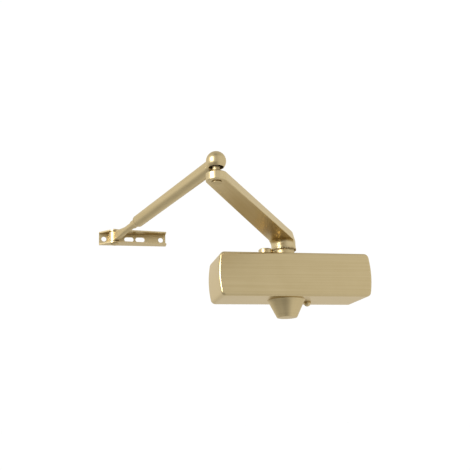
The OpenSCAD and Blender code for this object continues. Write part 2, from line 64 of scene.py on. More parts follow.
record = frame["record"]
joints = {joint["name"]: joint for joint in frame["joints"]}
body_of = {node: body for body, nodes in record["behaviour"]["bodies"].items() for node in nodes}


# ---------- places, read from the frame ----------

def pivot(joint):
    """Where a joint turns, in millimetres."""
    return Vector(joints[joint]["pos_m"]) / MM


def box_mm(node):
    """Lowest and highest corner of a CAD node, in millimetres."""
    low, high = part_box(node)
    return low / MM, high / MM


def upright(point):
    """Place whose Z axis stands on a point of the floor plan."""
    return Matrix.Translation((point[0], point[1], 0))


def forearm_place():
    """Place on the forearm's axis at the elbow: X to its side, Y up, Z towards the foot."""
    along = Vector(joints["rod_slide"]["axis"]).normalized()
    low, high = box_mm("forearm_tube")
    middle = (low + high) / 2
    level = along.xy
    back = (pivot("elbow_turn").xy - middle.xy).dot(level) / level.length_squared
    side = along.cross(Vector((0, 0, 1))).normalized()
    up = side.cross(along)
    place = Matrix((side, up, along)).transposed().to_4x4()
    place.translation = middle + along * back
    return place


PINION = pivot("pinion_turn")
ELBOW = pivot("elbow_turn")
FOOT_PIN = pivot("foot_pivot")
PINION_PLACE = upright(PINION)
ELBOW_PLACE = upright(ELBOW)
FOOT_PLACE = upright(FOOT_PIN)
ARM_TURN = math.atan2(ELBOW.y - PINION.y, ELBOW.x - PINION.x)
ARM_LEN = (ELBOW - PINION).xy.length
ARM_PLACE = PINION_PLACE @ Matrix.Rotation(ARM_TURN, 4, "Z")  # X runs from the pinion to the elbow
FOREARM = forearm_place()
FOREARM_TURN = math.atan2(FOREARM.col[2].y, FOREARM.col[2].x)


def along_forearm(node):
    """Start and end of a node along the forearm, and its reach from the axis."""
    inverse = FOREARM.inverted()
    points = [inverse @ (v.co / MM) for v in frame["nodes"][node].data.vertices]
    return min(p.z for p in points), max(p.z for p in points), max(p.xy.length for p in points)


# ---------- shapes ----------

def spread(first, last, count):
    """Evenly spaced numbers from first to last."""
    return [first + (last - first) * i / (count - 1) for i in range(count)]


def quarter(count):
    """Sine and cosine at even steps through a quarter turn."""
    return [(math.sin(math.radians(t)), math.cos(math.radians(t))) for t in spread(0, 90, count)]


def peg(radius, first, last):
    """Profile of a plain round bar between two heights, for cutting a hole."""
    return [(0, first), (radius, first), (radius, last), (0, last)]


def open_peg(radius, low, high, first, last):
    """Profile of a bar from first to last that also chamfers the hole's edges at low and high."""
    chamfer, wide = 0.5, radius + 1
    return [(0, first), (wide, first), (wide, low - chamfer), (radius, low + chamfer),
            (radius, high - chamfer), (wide, high + chamfer), (wide, last), (0, last)]


def rectangle(half_x, half_y):
    """Outline of a rectangle round the origin."""
    return [(-half_x, -half_y), (half_x, -half_y), (half_x, half_y), (-half_x, half_y)]


def points_round(place, reaches, heights, start=0.0):
    """Points evenly round the Z axis of place, each with its own reach from the axis and height."""
    points = []
    for i, (reach, height) in enumerate(zip(reaches, heights)):
        angle = start + math.tau * i / len(reaches)
        points.append(place @ Vector((reach * math.cos(angle), reach * math.sin(angle), height)))
    return points


def rounded(points, radii, closed=False, steps=6):
    """Polyline whose listed corners are arcs of the given radii."""
    result = []
    for i, point in enumerate(points):
        corner = Vector(point)
        radius = radii.get(i, 0)
        inner = closed or 0 < i < len(points) - 1
        if radius == 0 or not inner:
            result.append(corner)
            continue
        before = (Vector(points[i - 1]) - corner).normalized()
        after = (Vector(points[(i + 1) % len(points)]) - corner).normalized()
        half = before.angle(after) / 2
        centre = corner + (before + after).normalized() * radius / math.sin(half)
        start = corner + before * radius / math.tan(half) - centre
        end = corner + after * radius / math.tan(half) - centre
        first = math.atan2(start.y, start.x)
        turn = math.atan2(end.y, end.x) - first
        turn = (turn + math.pi) % math.tau - math.pi
        for k in range(steps + 1):
            angle = first + turn * k / steps
            result.append(centre + Vector((math.cos(angle), math.sin(angle))) * radius)
    return result


def arc(centre, radius, first, last, count):
    """Points on an arc, with angles in degrees."""
    angles = [math.radians(a) for a in spread(first, last, count)]
    return [Vector(centre) + Vector((math.cos(a), math.sin(a))) * radius for a in angles]


def bridge(first_a, size_a, first_b, size_b):
    """Faces between two rings, given each ring's first point and size; one of them may be a pole."""
    faces = []
    for i in range(max(size_a, size_b)):
        corners = (
            first_a + i % size_a,
            first_a + (i + 1) % size_a,
            first_b + (i + 1) % size_b,
            first_b + i % size_b,
        )
        faces.append(list(dict.fromkeys(corners)))
    return faces


def skin(name, rings, closed=False):
    """Mesh through rings of points; a ring of one point is a pole, open ends get a flat cap."""
    points = [point for ring in rings for point in ring]
    sizes = [len(ring) for ring in rings]
    starts = [sum(sizes[:i]) for i in range(len(rings))]
    pairs = [(i, i + 1) for i in range(len(rings) - 1)]
    if closed:
        pairs.append((len(rings) - 1, 0))
    faces = []
    for a, b in pairs:
        if max(sizes[a], sizes[b]) > 1:
            faces += bridge(starts[a], sizes[a], starts[b], sizes[b])
    if not closed:
        for end in (0, -1):
            if sizes[end] > 1:
                faces.append([starts[end] + i for i in range(sizes[end])])
    mesh = bpy.data.meshes.new(name)
    mesh.from_pydata([Vector(p) * MM for p in points], [], faces)
    piece = bpy.data.objects.new(name, mesh)
    bpy.context.scene.collection.objects.link(piece)
    clean(piece)
    return piece


def clean(piece):
    """Merges doubled points and turns every face outwards."""
    work = bmesh.new()
    work.from_mesh(piece.data)
    bmesh.ops.remove_doubles(work, verts=work.verts, dist=SAME_POINT)
    bmesh.ops.dissolve_degenerate(work, edges=work.edges, dist=SAME_POINT)
    bmesh.ops.recalc_face_normals(work, faces=work.faces)
    work.to_mesh(piece.data)
    work.free()


def lathe(name, profile, place, closed=False, steps=ROUND):
    """Piece turned round the Z axis of place from a profile of (radius, height)."""
    rings = []
    for radius, height in profile:
        if radius < 1e-6:
            rings.append([place @ Vector((0, 0, height))])
        else:
            rings.append(points_round(place, [radius] * steps, [height] * steps))
    return skin(name, rings, closed)


def prism(name, outline, low, high, place=Matrix.Identity(4)):
    """Straight piece with the outline, between two heights."""
    return skin(name, [[place @ Vector((x, y, z)) for x, y in outline] for z in (low, high)])


def bake_modifiers(piece):
    """Replaces a piece's mesh by what its modifiers make of it."""
    graph = bpy.context.evaluated_depsgraph_get()
    mesh = bpy.data.meshes.new_from_object(piece.evaluated_get(graph))
    piece.modifiers.clear()
    piece.data = mesh


def combine(piece, operation, *others):
    """Cuts the other pieces away from this one, joins them to it, or keeps what they share."""
    for other in others:
        modifier = piece.modifiers.new(operation, "BOOLEAN")
        modifier.operation = operation
        modifier.solver = "EXACT"
        modifier.object = other
        bake_modifiers(piece)
        bpy.data.objects.remove(other)
    clean(piece)
    return piece


def soften(piece, width):
    """Rounds every sharp edge by a small width."""
    modifier = piece.modifiers.new("edges", "BEVEL")
    modifier.width = width * MM
    modifier.segments = 2
    modifier.limit_method = "ANGLE"
    modifier.angle_limit = math.radians(35)
    modifier.miter_outer = "MITER_ARC"
    bake_modifiers(piece)
    clean(piece)
    return piece


def shade(piece):
    """Smooth shading with crisp edges, and flat faces that stay flat."""
    piece.data.shade_smooth()
    piece.data.set_sharp_from_angle(angle=math.radians(32))
    modifier = piece.modifiers.new("flat faces", "WEIGHTED_NORMAL")
    modifier.keep_sharp = True
    modifier.weight = 100
    bake_modifiers(piece)


def stand_in(piece, node, material, rides=True):
    """The piece takes the CAD node's place, and its body unless rides is false."""
    shade(piece)
    piece.data.materials.clear()
    piece.data.materials.append(material)
    if rides:
        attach(piece, body_of[node])
    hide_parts(node)


# ---------- materials ----------

def math_node(tree, operation, *values):
    """A Math node; each value is a number or a socket."""
    node = tree.nodes.new("ShaderNodeMath")
    node.operation = operation
    for i, value in enumerate(values):
        if isinstance(value, (int, float)):
            node.inputs[i].default_value = value
        else:
            tree.links.new(value, node.inputs[i])
    return node.outputs[0]


def mapped(tree, source, turn, scale):
    """Coordinates turned about Z, then stretched."""
    turned = tree.nodes.new("ShaderNodeMapping")
    turned.inputs["Rotation"].default_value = (0, 0, turn)
    tree.links.new(source, turned.inputs["Vector"])
    stretched = tree.nodes.new("ShaderNodeMapping")
    stretched.inputs["Scale"].default_value = scale
    tree.links.new(turned.outputs[0], stretched.inputs["Vector"])
    return stretched.outputs[0]


def noise(tree, vector, scale, detail=4.0):
    """Strength of a noise pattern."""
    node = tree.nodes.new("ShaderNodeTexNoise")
    node.inputs["Scale"].default_value = scale
    node.inputs["Detail"].default_value = detail
    tree.links.new(vector, node.inputs["Vector"])
    return node.outputs["Fac"]


def map_range(tree, value, start, end, low, high, kind="LINEAR"):
    """Takes start to low and end to high, and holds beyond them."""
    node = tree.nodes.new("ShaderNodeMapRange")
    node.interpolation_type = kind
    tree.links.new(value, node.inputs["Value"])
    for name, number in zip(("From Min", "From Max", "To Min", "To Max"), (start, end, low, high)):
        node.inputs[name].default_value = number
    return node.outputs["Result"]


def straight_grain(turn, fine=700.0, long=7.0):
    """Brush lines along one level direction, and upright on the faces that look along it."""
    def build(tree):
        place = tree.nodes.new("ShaderNodeTexCoord")
        lengthwise = mapped(tree, place.outputs["Object"], -turn, (long, fine, fine))
        upward = mapped(tree, place.outputs["Object"], -turn, (fine, fine, long))
        facing = mapped(tree, place.outputs["Normal"], -turn, (1, 1, 1))
        parts = tree.nodes.new("ShaderNodeSeparateXYZ")
        tree.links.new(facing, parts.inputs[0])
        endways = math_node(tree, "ABSOLUTE", parts.outputs["X"])
        is_end = math_node(tree, "GREATER_THAN", endways, 0.75)
        pick = tree.nodes.new("ShaderNodeMix")
        pick.data_type = "VECTOR"
        tree.links.new(is_end, pick.inputs["Factor"])
        tree.links.new(lengthwise, pick.inputs[4])
        tree.links.new(upward, pick.inputs[5])
        return pick.outputs[1]
    return build


def turned_grain(centre, axis="Z", fine=900.0):
    """Fine rings left by turning, round an axis through centre."""
    def build(tree):
        place = tree.nodes.new("ShaderNodeTexCoord")
        offset = tree.nodes.new("ShaderNodeVectorMath")
        offset.operation = "SUBTRACT"
        offset.inputs[1].default_value = Vector(centre) * MM
        tree.links.new(place.outputs["Object"], offset.inputs[0])
        parts = tree.nodes.new("ShaderNodeSeparateXYZ")
        tree.links.new(offset.outputs[0], parts.inputs[0])
        across = [name for name in "XYZ" if name != axis]
        squares = [math_node(tree, "MULTIPLY", parts.outputs[n], parts.outputs[n]) for n in across]
        radius = math_node(tree, "SQRT", math_node(tree, "ADD", *squares))
        rings = tree.nodes.new("ShaderNodeCombineXYZ")
        tree.links.new(math_node(tree, "MULTIPLY", radius, fine), rings.inputs[0])
        tree.links.new(math_node(tree, "MULTIPLY", parts.outputs[axis], fine), rings.inputs[1])
        return rings.outputs[0]
    return build


def even_grain(fine=900.0):
    """Grain with no direction, as on castings and moulded pieces."""
    def build(tree):
        place = tree.nodes.new("ShaderNodeTexCoord")
        return mapped(tree, place.outputs["Object"], 0, (fine, fine, fine))
    return build


CLOUDS = 28.0  # scale of the soft mottling, over metres
SPECKS = 2600.0  # and of the finest specks
TONES = (0.3, 0.7)  # most of a noise pattern lies between these


def surface(name, grain, dark, light, roughness, bump, metallic=1.0, swing=0.08, mottle=0.3, worn=None):
    """Procedural finish: two tones mixed by its grain and by soft mottling, with edges worn bright."""
    material = bpy.data.materials.new(name)
    material.use_nodes = True
    tree = material.node_tree
    shader = tree.nodes["Principled BSDF"]
    shader.inputs["Metallic"].default_value = metallic
    place = tree.nodes.new("ShaderNodeTexCoord").outputs["Object"]

    lines = noise(tree, grain(tree), 1.0)
    clouds = noise(tree, place, CLOUDS, 3.0)
    specks = noise(tree, place, SPECKS, 2.0)
    weight = math_node(tree, "MULTIPLY", lines, 1 - mottle)
    tone = math_node(tree, "ADD", weight, math_node(tree, "MULTIPLY", clouds, mottle))

    colour = two_tones(tree, tone, dark, light)
    if worn:
        colour = worn_edges(tree, colour, specks, worn)
    rough = map_range(tree, tone, *TONES, roughness - swing, roughness + swing)
    height = math_node(tree, "ADD", lines, math_node(tree, "MULTIPLY", specks, 0.35))
    tree.links.new(colour, shader.inputs["Base Color"])
    tree.links.new(rough, shader.inputs["Roughness"])
    tree.links.new(relief(tree, height, bump), shader.inputs["Normal"])
    return material


def two_tones(tree, tone, dark, light):
    """Colour between dark and light, by the tone."""
    ramp = tree.nodes.new("ShaderNodeValToRGB")
    for element, position, colour in zip(ramp.color_ramp.elements, TONES, (dark, light)):
        element.position = position
        element.color = (*colour, 1)
    tree.links.new(tone, ramp.inputs[0])
    return ramp.outputs["Color"]


def relief(tree, height, strength):
    """Shading normal of a fine relief."""
    node = tree.nodes.new("ShaderNodeBump")
    node.inputs["Strength"].default_value = strength
    node.inputs["Distance"].default_value = 0.04 * MM
    tree.links.new(height, node.inputs["Height"])
    return node.outputs[0]


def worn_edges(tree, colour, specks, worn):
    """Mixes a brighter tone in where the surface turns sharply, broken up by specks."""
    edge = tree.nodes.new("ShaderNodeBevel")
    edge.samples = 4
    edge.inputs["Radius"].default_value = 0.6 * MM
    flat = tree.nodes.new("ShaderNodeNewGeometry")
    dot = tree.nodes.new("ShaderNodeVectorMath")
    dot.operation = "DOT_PRODUCT"
    tree.links.new(edge.outputs[0], dot.inputs[0])
    tree.links.new(flat.outputs["Normal"], dot.inputs[1])
    turned = math_node(tree, "SUBTRACT", 1.0, dot.outputs["Value"])
    amount = math_node(tree, "MULTIPLY", turned, math_node(tree, "MULTIPLY", specks, 5.0))
    clipped = math_node(tree, "MINIMUM", amount, 0.6)
    mix = tree.nodes.new("ShaderNodeMix")
    mix.data_type = "RGBA"
    tree.links.new(clipped, mix.inputs["Factor"])
    tree.links.new(colour, mix.inputs[6])
    mix.inputs[7].default_value = (*worn, 1)
    return mix.outputs[2]


GOLD_DARK = (0.52, 0.41, 0.215)
GOLD_LIGHT = (0.60, 0.485, 0.275)
GOLD_WORN = (0.76, 0.66, 0.45)
GOLD_RIM = (0.95, 0.90, 0.79, 1)  # keeps the gold warm where it is seen at a low angle


def gold(name, grain, roughness, bump=0.10, dark=GOLD_DARK, light=GOLD_LIGHT):
    """Brushed brass plating, with edges worn pale."""
    material = surface(name, grain, dark, light, roughness, bump, swing=0.05, worn=GOLD_WORN)
    material.node_tree.nodes["Principled BSDF"].inputs["Specular Tint"].default_value = GOLD_RIM
    return material


def steel(name, grain):
    """Bright machined steel."""
    return surface(name, grain, (0.42, 0.42, 0.43), (0.60, 0.60, 0.61), roughness=0.30, bump=0.15)


bore_centre = (0, PINION.y, 0)
cap_nut_low, cap_nut_high = box_mm("cap_nut")
cap_nut_centre = (cap_nut_low + cap_nut_high) / 2
screw_low, screw_high = box_mm("cover_screw")
screw_centre = (screw_low + screw_high) / 2

cover_gold = gold("cover_gold", straight_grain(0, 620.0, 5.0), roughness=0.33, bump=0.07)
cap_gold = gold("cap_gold", turned_grain(PINION), roughness=0.38)
collar_gold = gold("collar_gold", turned_grain(PINION), roughness=0.46)
nut_gold = gold("nut_gold", turned_grain(cap_nut_centre), roughness=0.36)
screw_gold = gold("screw_gold", turned_grain(screw_centre), roughness=0.32)
# The arm's two gold tones are a little lighter than the cover's gold: painted light that brightens the arm's
# underside and sides.
arm_gold = gold(
    "arm_gold", straight_grain(ARM_TURN, 420.0, 14.0), roughness=0.36, bump=0.12,
    dark=(0.55, 0.44, 0.24), light=(0.63, 0.515, 0.30))
ball_gold = gold("ball_gold", turned_grain(ELBOW), roughness=0.34)
stud_gold = gold("stud_gold", turned_grain(ELBOW), roughness=0.50)
tube_gold = gold("tube_gold", straight_grain(FOREARM_TURN, 520.0, 9.0), roughness=0.36)
rod_gold = gold("rod_gold", even_grain(420.0), roughness=0.44, bump=0.08)
foot_gold = gold("foot_gold", straight_grain(0, 500.0, 16.0), roughness=0.36, bump=0.12)
foot_pin_gold = gold("foot_pin_gold", turned_grain(FOOT_PIN), roughness=0.44, bump=0.06)

bore_steel = steel("bore_steel", turned_grain(bore_centre, "X"))
shaft_steel = steel("shaft_steel", turned_grain(PINION))
stud_steel = steel("stud_steel", turned_grain(cap_nut_centre))
spring_steel = surface(
    "spring_steel", even_grain(), (0.16, 0.16, 0.18), (0.26, 0.26, 0.28), roughness=0.36, bump=0.2)
dark_steel = surface(
    "dark_steel", even_grain(), (0.055, 0.036, 0.015), (0.10, 0.070, 0.034),
    roughness=0.45, bump=0.2, metallic=0.8)
cast_iron = surface(
    "cast_iron", even_grain(620.0), (0.115, 0.12, 0.125), (0.20, 0.205, 0.21),
    roughness=0.58, bump=0.9, metallic=0.75, swing=0.10, mottle=0.45, worn=(0.40, 0.41, 0.42))

bronze = surface(
    "bronze", turned_grain(PINION), (0.40, 0.25, 0.10), (0.56, 0.38, 0.18),
    roughness=0.30, bump=0.15, swing=0.07)
valve_bronze = surface(
    "valve_bronze", even_grain(), (0.42, 0.27, 0.11), (0.58, 0.40, 0.19),
    roughness=0.28, bump=0.15, swing=0.07)
rubber = surface(
    "rubber", even_grain(500.0), (0.012, 0.012, 0.013), (0.03, 0.03, 0.03),
    roughness=0.62, bump=0.3, metallic=0.0)
socket_plastic = surface(
    "socket_plastic", even_grain(400.0), (0.060, 0.034, 0.010), (0.095, 0.058, 0.020),
    roughness=0.55, bump=0.2, metallic=0.0, swing=0.06)


# ---------- cover ----------

COVER_WALL = 2.0
COVER_EDGE = 3.4  # rounding of the front edges
COVER_CORNER = 6.8  # rounding where the ends meet the top and the bottom
END_BOW = 3.5  # how far the middle of each end stands out
OPENING_R = 17.5  # openings over and under the pinion


def cover_loop(inset, depth, half_w, half_h):
    """The cover's outline, moved inwards by inset, at a distance from the door."""
    end_r = (half_h ** 2 + END_BOW ** 2) / (2 * END_BOW)
    lean = math.degrees(math.asin((half_h - COVER_CORNER) / (end_r - COVER_CORNER)))
    corner_x = half_w - end_r + (end_r - COVER_CORNER) * math.cos(math.radians(lean))
    corner_z = half_h - COVER_CORNER
    right = arc((corner_x, corner_z), COVER_CORNER - inset, 90, lean, 7)
    right += arc((half_w - end_r, 0), end_r - inset, lean, -lean, 25)[1:-1]
    right += arc((corner_x, -corner_z), COVER_CORNER - inset, -lean, -90, 7)
    left = [Vector((-p.x, p.y)) for p in reversed(right)]
    return [Vector((p.x, depth, p.y)) for p in right + left]


def make_cover():
    """Shell, open towards the door, with openings for the pinion, the cap nut's stud and the screw."""
    low, high = box_mm("cover")
    half_w, half_h = high.x, high.z
    front = low.y
    inner = front + COVER_WALL
    flat = COVER_EDGE + 0.1  # just past the rounding of the edges
    across = rounded(
        [(flat, front), (0, front), (0, 0), (COVER_WALL, 0), (COVER_WALL, inner), (flat, inner)],
        {1: COVER_EDGE, 2: 0.5, 3: 0.5, 4: 1.0}, steps=8)
    cover = skin("cover_shell", [cover_loop(inset, depth, half_w, half_h) for inset, depth in across])
    stud_r, screw_r = 3.4, 2.9
    within, beyond = 20, 60
    combine(
        cover, "DIFFERENCE",
        lathe("opening", open_peg(OPENING_R, -half_h, half_h, -beyond, beyond), PINION_PLACE),
        lathe("nut_hole", peg(stud_r, within, beyond), upright(cap_nut_centre)),
        lathe("screw_hole", peg(screw_r, -within, -beyond), upright(screw_centre)))
    stand_in(cover, "cover", cover_gold)


def make_pinion_cap():
    """Hollow cone with a small flared lip where it meets the cover."""
    low, high = box_mm("pinion_cap")
    top, bottom, lip = high.z, low.z, (high.x - low.x) / 2
    wall, end = 2.0, 14.1
    neck, neck_z = lip - 2.0, top - 3.0
    outside = [(lip - 0.1, top), (lip, top - 0.3), (neck, neck_z), (end + 0.1, bottom), (0, bottom)]
    inside = [(0, bottom + wall), (end - wall, bottom + wall), (neck - wall, neck_z),
              (neck - wall + 0.8, top)]
    profile = rounded(outside + inside, {1: 0.15, 2: 9.0, 3: 1.3, 6: 1.0}, steps=8)
    cap = lathe("pinion_cap_cone", profile, PINION_PLACE, closed=True)
    stand_in(cap, "pinion_cap", cap_gold)


def make_cap_nut():
    """Round nut with a chamfered top and a slot across it."""
    top, bottom, radius = cap_nut_high.z, cap_nut_low.z, (cap_nut_high.x - cap_nut_low.x) / 2
    chamfer, edge = 1.2, 0.3
    stud_r, stud_h = 3, 8
    slot_half, slot_deep = 1, 2.2
    place = upright(cap_nut_centre)
    profile = rounded(
        [(0, bottom), (radius - edge, bottom), (radius, bottom + edge), (radius, top - chamfer),
         (radius - chamfer, top), (0, top)],
        {3: 0.4, 4: 0.4}, steps=4)
    nut = lathe("cap_nut_turned", profile, place)
    combine(
        nut, "DIFFERENCE",
        lathe("stud_hole", peg(stud_r, bottom - 1, bottom + stud_h), place),
        prism("slot", rectangle(20, slot_half), top - slot_deep, top + 2, place))
    stand_in(soften(nut, 0.15), "cap_nut", nut_gold)


def make_cover_screw():
    """Screw with a flattened round head under the cover and a slot across it."""
    top, bottom = screw_high.z, screw_low.z
    seat, head_r, shank_r = -31.0, 5.4, 2.5
    slot_half, slot_deep = 0.6, 1.6
    place = upright(screw_centre)
    rim = seat - 0.6
    flatten = (rim - bottom) / head_r
    shank = [(0, top), (shank_r - 0.5, top), (shank_r, top - 0.5), (shank_r, seat), (head_r - 0.2, seat)]
    dome = [(x, rim + (z - rim) * flatten) for x, z in arc((0, rim), head_r, 0, -90, 14)[:-1]]
    screw = lathe("cover_screw_turned", shank + dome + [(0, bottom)], place)
    slot = prism("slot", rectangle(20, slot_half), bottom - 2, bottom + slot_deep, place)
    combine(screw, "DIFFERENCE", slot)
    stand_in(screw, "cover_screw", screw_gold)


# ---------- main arm ----------

ARM_HUB_R = 17.2  # the bar's end round the pinion
ARM_ELBOW_R = 11.75  # and round the elbow
ARM_DRAFT = 3.4  # how much narrower the hub's end is at the top
ARM_HEIGHT = 10.0  # the bar at the elbow
HUB_DROP = 10.5  # how far the hub hangs below the bar
HUB_R = 17.6
FILLET_R = 5.5
SHAFT_HALF = 6.05  # half the width of the square hole for the pinion


def arm_loop(hub_r, elbow_r, height, count=48):
    """Outline round the hub and the elbow; height gives Z from the distance along the arm."""
    touch = math.degrees(math.acos((hub_r - elbow_r) / ARM_LEN))
    loop = arc((0, 0), hub_r, touch, 360 - touch, count)
    loop += arc((ARM_LEN, 0), elbow_r, -touch, touch, count)
    return [Vector((p.x, p.y, height(p.x))) for p in loop]


def arm_body(low, top_hub, top_elbow):
    """The drafted bar from the hub to the elbow, with rounded edges."""
    under, over = 1.2, 1.8  # roundings of the lower and the upper edges
    slope = (top_elbow - top_hub) / ARM_LEN
    rings = []
    for sine, cosine in quarter(7):
        inset, height = under * (1 - sine), low + under * (1 - cosine)
        rings.append(arm_loop(ARM_HUB_R - inset, ARM_ELBOW_R - inset, lambda x, z=height: z))
    for sine, cosine in quarter(8):
        inset, height = over * (1 - cosine), top_hub - over * (1 - sine)
        draft = ARM_DRAFT * (height - low) / (top_hub - low)
        rings.append(arm_loop(
            ARM_HUB_R - draft - inset * 0.9, ARM_ELBOW_R - inset, lambda x, z=height: z + slope * x))
    return skin("main_arm_forging", [[ARM_PLACE @ p for p in ring] for ring in rings])


def outline_reach(angle, hub_r):
    """Distance from the pinion's axis to the bar's outline in one direction."""
    lean = math.acos((hub_r - ARM_ELBOW_R) / ARM_LEN)
    if abs(angle) >= lean:
        return hub_r
    return hub_r / math.cos(lean - abs(angle))


def hub_teeth(bottom):
    """Toothed skirt round the hub's lower end, reaching down over the index collar."""
    count, per_tooth = 46, 4
    inner, outer, depth = 16.6, HUB_R + 0.35, 2.5
    root, tip = bottom + 0.6, bottom - 2.9
    steps = count * per_tooth
    notches = [depth * abs((i % per_tooth) / per_tooth - 0.5) * 2 for i in range(steps)]
    rings = []
    for radius, z, toothed in (
            (inner, root, 0), (outer - 0.6, root, 0), (outer, bottom, 0),
            (outer, tip, 1), (outer - 0.3, tip - 0.15, 1), (inner, tip, 1)):
        heights = [z + toothed * notch for notch in notches]
        rings.append(points_round(PINION_PLACE, [radius] * steps, heights))
    return skin("hub_teeth", rings, closed=True)


def fillet_reach(angle, radius, above):
    """The fillet's radius, cut short at the bar's sides; above is the height over the bar's underside."""
    side = outline_reach(angle, ARM_HUB_R + 0.25 - above * 0.45)
    return min(radius, max(side, HUB_R - 0.35 - above * 0.5))


def arm_hub(bottom, low):
    """Hub that hangs below the bar, with a fillet that dies out at the bar's sides."""
    edge = 0.8
    start = -math.pi
    rings = []
    for z, inset in ((bottom, edge), (bottom + edge * 0.3, edge * 0.3), (bottom + edge, 0)):
        rings.append(points_round(ARM_PLACE, [HUB_R - inset] * ROUND, [z] * ROUND, start))
    foot = low - FILLET_R + 0.03
    fillet = [(foot + FILLET_R * sine, HUB_R + FILLET_R * (1 - cosine)) for sine, cosine in quarter(8)]
    fillet += [(low + 1.2, HUB_R + FILLET_R), (low + 2.4, HUB_R + FILLET_R)]
    angles = [start + math.tau * i / ROUND for i in range(ROUND)]
    for z, radius in fillet:
        reaches = [fillet_reach(angle, radius, max(0.0, z - low)) for angle in angles]
        rings.append(points_round(ARM_PLACE, reaches, [z] * ROUND, start))
    return skin("hub", rings)


def shaft_lead_in(bottom):
    """Cutter that widens the lower mouth of the square hole."""
    rings = []
    for half, z in ((SHAFT_HALF + 1.6, bottom - 1), (SHAFT_HALF, bottom + 0.6)):
        rings.append([PINION_PLACE @ Vector((x, y, z)) for x, y in rectangle(half, half)])
    return skin("lead_in", rings)


def make_main_arm():
    """Forging with a square hole and a recess at the pinion, and a hole for the stud at the elbow."""
    low, high = box_mm("main_arm")
    bottom, top_hub = low.z, high.z
    underside = bottom + HUB_DROP
    top_elbow = underside + ARM_HEIGHT
    washer_z, recess_r, rim_r = underside + 10, 9.8, 10.9
    stud_r, spot_r = 4.4, 5.6
    recess = [(0, washer_z), (recess_r, washer_z), (recess_r, top_hub - 0.6), (rim_r, top_hub + 0.5),
              (rim_r, ABOVE_ALL), (0, ABOVE_ALL)]
    spot_face = [(0, top_elbow - 0.01), (spot_r, top_elbow - 0.01), (spot_r + 0.6, top_elbow + 1),
                 (spot_r + 0.6, ABOVE_ALL), (0, ABOVE_ALL)]
    arm = arm_body(underside, top_hub, top_elbow)
    combine(arm, "UNION", arm_hub(bottom, underside), hub_teeth(bottom))
    combine(
        arm, "DIFFERENCE",
        prism("shaft_hole", rectangle(SHAFT_HALF, SHAFT_HALF), bottom - 5, top_hub + 5, PINION_PLACE),
        shaft_lead_in(bottom),
        lathe("recess", recess, PINION_PLACE),
        lathe("stud_hole", peg(stud_r, BELOW_ARM, ABOVE_ALL), ELBOW_PLACE),
        lathe("spot_face", spot_face, ELBOW_PLACE))
    stand_in(arm, "main_arm", arm_gold)


def make_index_collar():
    """Serrated ring; the grooves are cut into its upper end."""
    low, high = box_mm("index_collar")
    bottom, top, radius = low.z, high.z, (high.x - low.x) / 2
    bore, depth = 9.0, 1.25
    grooves, per_groove = 36, 10
    steps = grooves * per_groove
    half_pitch = math.pi * radius / grooves
    dips = []
    for i in range(steps):
        from_groove = abs((i % per_groove) / per_groove - 0.5) * 2 * half_pitch
        dips.append(max(0.0, depth - max(0.0, half_pitch - from_groove)))
    rings = []
    for z, inset, cut in (
            (bottom, 0.4, 0), (bottom + 0.4, 0, 0), (top - 3.8, 0, 0), (top - 3.4, 0, 1),
            (top - 0.5, 0, 1), (top, 0.5, 1)):
        reaches = [radius - inset - cut * dip for dip in dips]
        rings.append(points_round(PINION_PLACE, reaches, [z] * steps))
    for z in (top, bottom):
        rings.append(points_round(PINION_PLACE, [bore] * steps, [z] * steps))
    collar = skin("index_collar_serrated", rings, closed=True)
    stand_in(collar, "index_collar", collar_gold)


def make_elbow_stud():
    """Rivet head under the arm, shank, flange, neck and ball, turned in one piece."""
    bottom = box_mm("elbow_stud")[0].z
    flange = bottom + ARM_HEIGHT
    neck = flange + 3.2
    head_r, shank_r, flange_r, neck_r, ball_r = 5.5, 4.35, 5.6, 4.3, 5.6
    head_low, head_high = bottom - 1.5, bottom - 0.7
    stem = rounded(
        [(0, head_low), (head_r, head_low), (head_r, head_high), (shank_r, head_high), (shank_r, flange),
         (flange_r, flange), (flange_r, flange + 2.0), (neck_r, neck), (neck_r, neck + 1.2)],
        {1: 0.4, 5: 0.2, 6: 0.5, 7: 0.4}, steps=4)
    join = math.degrees(math.asin(neck_r / ball_r))
    ball = arc((0, ELBOW.z), ball_r, join - 90, 90, 24)
    ball[-1] = Vector((0, ELBOW.z + ball_r))
    stud = lathe("elbow_stud_turned", stem + ball, ELBOW_PLACE)
    stand_in(stud, "elbow_stud", stud_gold)


# ---------- forearm ----------

BALL_R = 11.0
MOUTH_R = 8.1  # opening under the ball


def make_ball_housing():
    """Ball turned about the upright axis, hollow from below, with the shank that holds the tube."""
    ball = [(0, ELBOW.z - BALL_R)] + arc((0, ELBOW.z), BALL_R, -90, 90, 60)[1:-1] + [(0, ELBOW.z + BALL_R)]
    start, end = 5.0, along_forearm("ball_housing")[1]
    shank_r, collar_r = 6.48, 7.98
    collar_end = along_forearm("forearm_tube")[0] - 0.05
    shank = rounded(
        [(0, start), (collar_r - 0.6, start), (collar_r, collar_end - 1.5), (collar_r, collar_end),
         (shank_r, collar_end), (shank_r, end - 1), (shank_r - 1, end), (0, end)],
        {3: 0.1}, steps=3)
    wide, rim = MOUTH_R + 0.5, ELBOW.z - math.sqrt(BALL_R ** 2 - MOUTH_R ** 2)
    outside, pocket_top = rim - 9, ELBOW.z + 5.9
    pocket = [(0, outside), (wide, outside), (wide, rim), (MOUTH_R, rim + 0.7), (MOUTH_R, pocket_top),
              (0, pocket_top)]
    housing = lathe("ball_housing_turned", ball, ELBOW_PLACE)
    combine(housing, "UNION", lathe("shank", shank, FOREARM))
    combine(housing, "DIFFERENCE", lathe("pocket", pocket, ELBOW_PLACE))
    stand_in(housing, "ball_housing", ball_gold)


